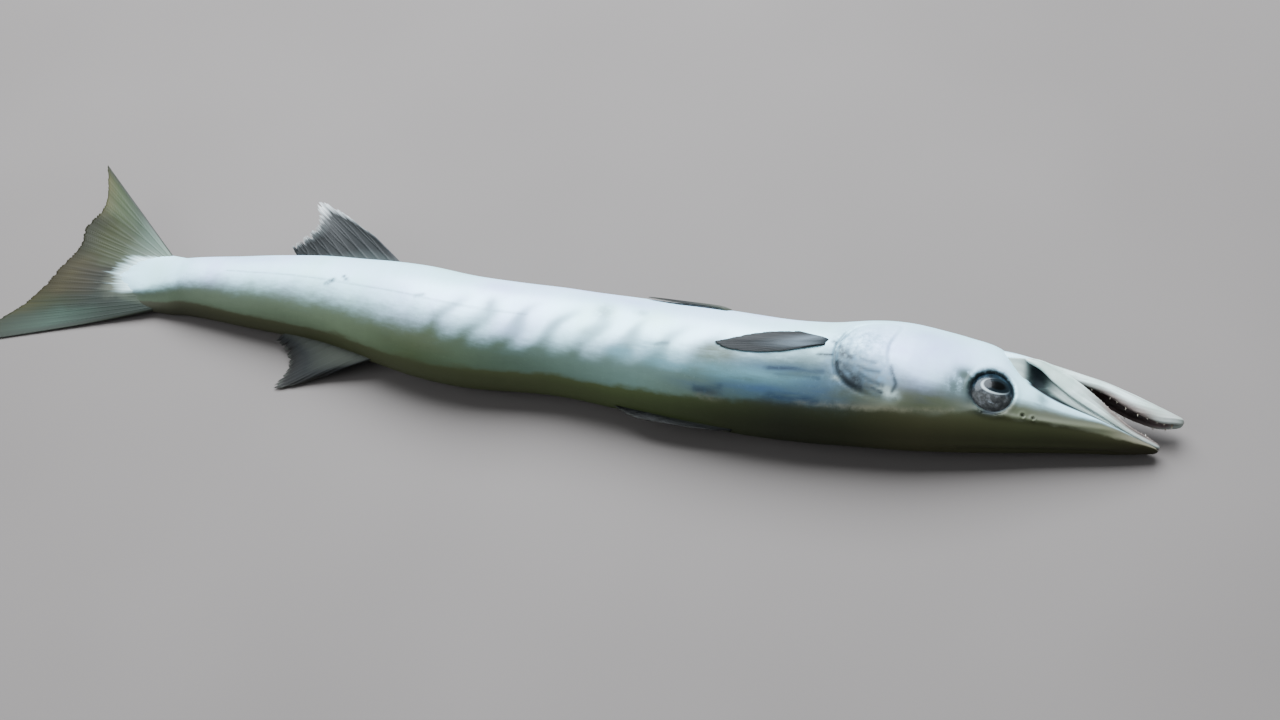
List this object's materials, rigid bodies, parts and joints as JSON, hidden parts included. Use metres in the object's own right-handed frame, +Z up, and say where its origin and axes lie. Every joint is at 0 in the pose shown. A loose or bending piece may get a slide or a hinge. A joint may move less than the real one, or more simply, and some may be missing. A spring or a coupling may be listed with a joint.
{
  "type": "barracuda",
  "caption": "Life-size barracuda lying on its right side with its mouth a little open, as a still display model.",
  "frame": {"origin": "on the ground, under the middle of the fish's bounding box", "axes": "+X from the tail towards the snout, +Y from the back towards the belly, +Z up out of the left flank"},
  "size_m": [1.042, 0.1982, 0.0835],
  "materials": {
    "skin": "wet scaled fish skin, dark olive back, silver flank with faint slanted bars, white belly",
    "jaws_and_teeth": "wet pale grey-white jaw skin with ivory teeth",
    "eye": "clear wet cornea over a dark eye with a silvery ring round the pupil",
    "fin": "dark grey-olive fin membrane with raised rays, white at the anal fin's tip",
    "tail_fin": "olive-yellow tail membrane with raised rays, grey-green at the root"
  },
  "bodies": {
    "root": {"head": "skin", "upper_jaw": "jaws_and_teeth", "lower_jaw": "jaws_and_teeth", "gill_cover_left": "skin", "gill_cover_right": "skin", "eye_left": "eye", "eye_right": "eye", "trunk_front": "skin", "trunk_middle": "skin", "trunk_rear": "skin", "tail_stalk": "skin", "first_dorsal_fin": "fin", "second_dorsal_fin": "fin", "anal_fin": "fin", "caudal_fin_upper_lobe": "tail_fin", "caudal_fin_lower_lobe": "tail_fin", "pectoral_fin_left": "fin", "pectoral_fin_right": "fin", "pelvic_fin_left": "fin", "pelvic_fin_right": "fin"}
  },
  "joints": []
}
